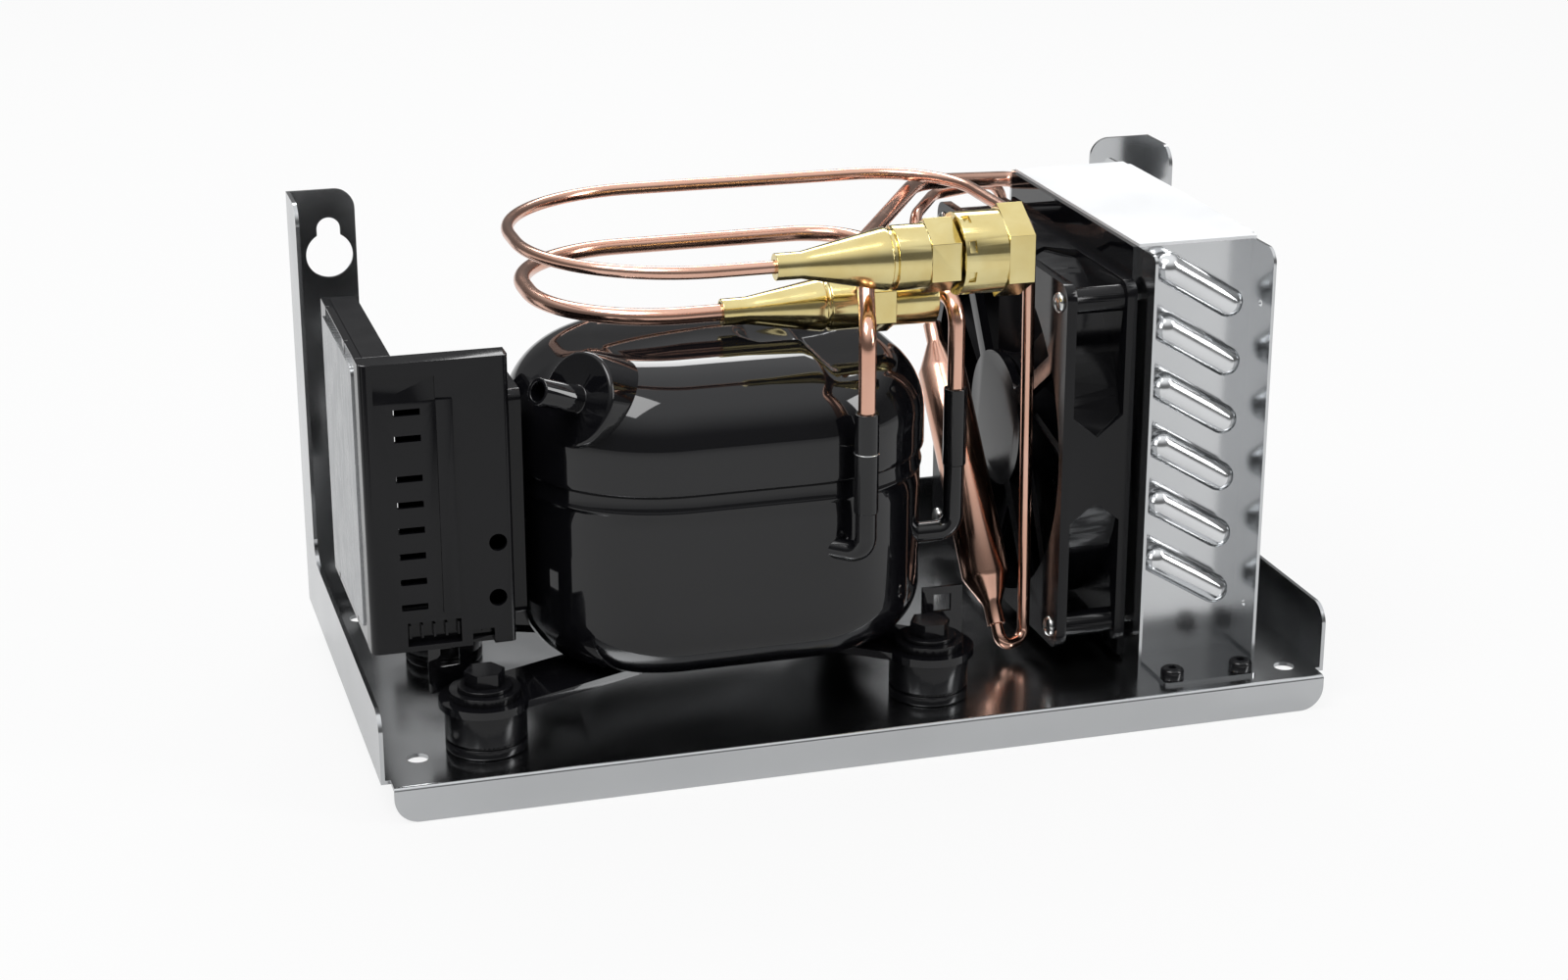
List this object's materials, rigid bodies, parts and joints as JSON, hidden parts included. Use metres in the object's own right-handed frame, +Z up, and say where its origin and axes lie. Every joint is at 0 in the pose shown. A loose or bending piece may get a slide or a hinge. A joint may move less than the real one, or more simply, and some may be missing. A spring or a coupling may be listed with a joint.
{
  "type": "refrigeration condensing unit",
  "caption": "Compact condensing unit: hermetic compressor, fan-cooled condenser, filter drier and copper pipes with brass quick couplings on a folded sheet tray.",
  "frame": {"origin": "under the middle of the unit, level with the lower edge of the tray's front lip", "axes": "+X along the tray from the control unit to the condenser, +Y from the open front to the hanger side at the back, +Z up"},
  "size_m": [0.3676, 0.197, 0.2038],
  "materials": {
    "galvanised": "satin zinc-coated sheet with soft reflections",
    "black_enamel": "gloss black baked enamel",
    "rubber": "matt black moulded rubber",
    "zinc_hardware": "bright zinc plate",
    "black_hardware": "black oxide",
    "copper": "drawn copper tube, semi-gloss",
    "brass": "turned brass, semi-gloss",
    "aluminium": "mill finish",
    "black_plastic": "satin black moulding",
    "pale_plastic": "white moulding",
    "circuit_board": "green laminate",
    "steel": "machined steel",
    "lamination": "dull laminated steel",
    "winding_copper": "enamelled copper wire",
    "cast_iron": "machined casting",
    "spring_steel": "spring wire",
    "magnet": "sintered magnet",
    "seal_rubber": "O-ring rubber",
    "beads": "ceramic beads between wire screens"
  },
  "bodies": {
    "unit": {"base_tray": "galvanised", "rubber_grommets": "rubber", "foot_sleeves": "zinc_hardware", "foot_washers": "black_hardware", "foot_bolts": "black_hardware", "foot_nuts": "black_hardware", "compressor_bracket": "black_enamel", "compressor_upper_shell": "black_enamel", "compressor_lower_shell": "black_enamel", "compressor_process_tube": "black_enamel", "discharge_sleeve": "black_enamel", "suction_sleeve": "black_enamel", "terminal_cover": "black_plastic", "terminal_pins": "steel", "control_front_cover": "black_plastic", "control_heat_sink": "aluminium", "control_housing": "black_plastic", "control_board": "circuit_board", "control_terminal_block": "pale_plastic", "control_bracket": "galvanised", "motor_stator": "lamination", "motor_windings": "winding_copper", "cylinder_block": "cast_iron", "cylinder_head": "cast_iron", "suspension_springs": "spring_steel", "condenser_hairpins": "aluminium", "condenser_return_bends": "aluminium", "condenser_front_plate": "galvanised", "condenser_rear_plate": "galvanised", "condenser_fins": "aluminium", "condenser_cover": "galvanised", "fan_shroud": "black_enamel", "condenser_screws": "black_hardware", "fan_frame": "black_plastic", "fan_bearing": "brass", "fan_motor": "lamination", "fan_screws": "zinc_hardware", "liquid_coupling_body": "brass", "liquid_coupling_spring": "spring_steel", "liquid_coupling_seal": "seal_rubber", "suction_coupling_body": "brass", "suction_coupling_spring": "spring_steel", "suction_coupling_seal": "seal_rubber", "drier_body": "copper", "drier_core": "beads", "liquid_pipe": "copper", "suction_pipe": "copper", "discharge_pipe": "copper", "condenser_outlet_pipe": "copper"},
    "crank": {"motor_rotor": "lamination", "crankshaft": "steel"},
    "piston_group": {"piston": "steel", "wrist_pin": "steel", "connecting_rod": "aluminium"},
    "fan_rotor": {"fan_impeller": "black_plastic", "fan_shaft": "steel", "fan_magnet": "magnet"},
    "coupling_nut": {"liquid_coupling_nut": "brass"},
    "liquid_poppet": {"liquid_coupling_poppet": "brass"},
    "suction_poppet": {"suction_coupling_poppet": "brass"}
  },
  "joints": [
    {"name": "crank_spin", "type": "hinge", "parent": "unit", "child": "crank", "pos_m": [-0.04325, -0.0265, 0.1197], "axis": [0, 0, 1], "continuous": true},
    {"name": "piston_slide", "type": "slide", "parent": "unit", "child": "piston_group", "axis": [1, 0, 0], "range_m": [-0.0043, 0.0043]},
    {"name": "fan_spin", "type": "hinge", "parent": "unit", "child": "fan_rotor", "pos_m": [0.09575, 0.006, 0.0952], "axis": [1, 0, 0], "continuous": true},
    {"name": "coupling_nut_turn", "type": "hinge", "parent": "unit", "child": "coupling_nut", "pos_m": [0.04625, -0.0745, 0.1864], "axis": [1, 0, 0], "continuous": true},
    {"name": "liquid_poppet_slide", "type": "slide", "parent": "unit", "child": "liquid_poppet", "axis": [1, 0, 0], "range_m": [-0.003, 0], "stiffness_N_per_m": 500, "springref_m": 0.002},
    {"name": "suction_poppet_slide", "type": "slide", "parent": "unit", "child": "suction_poppet", "axis": [1, 0, 0], "range_m": [-0.003, 0], "stiffness_N_per_m": 500, "springref_m": 0.002}
  ]
}
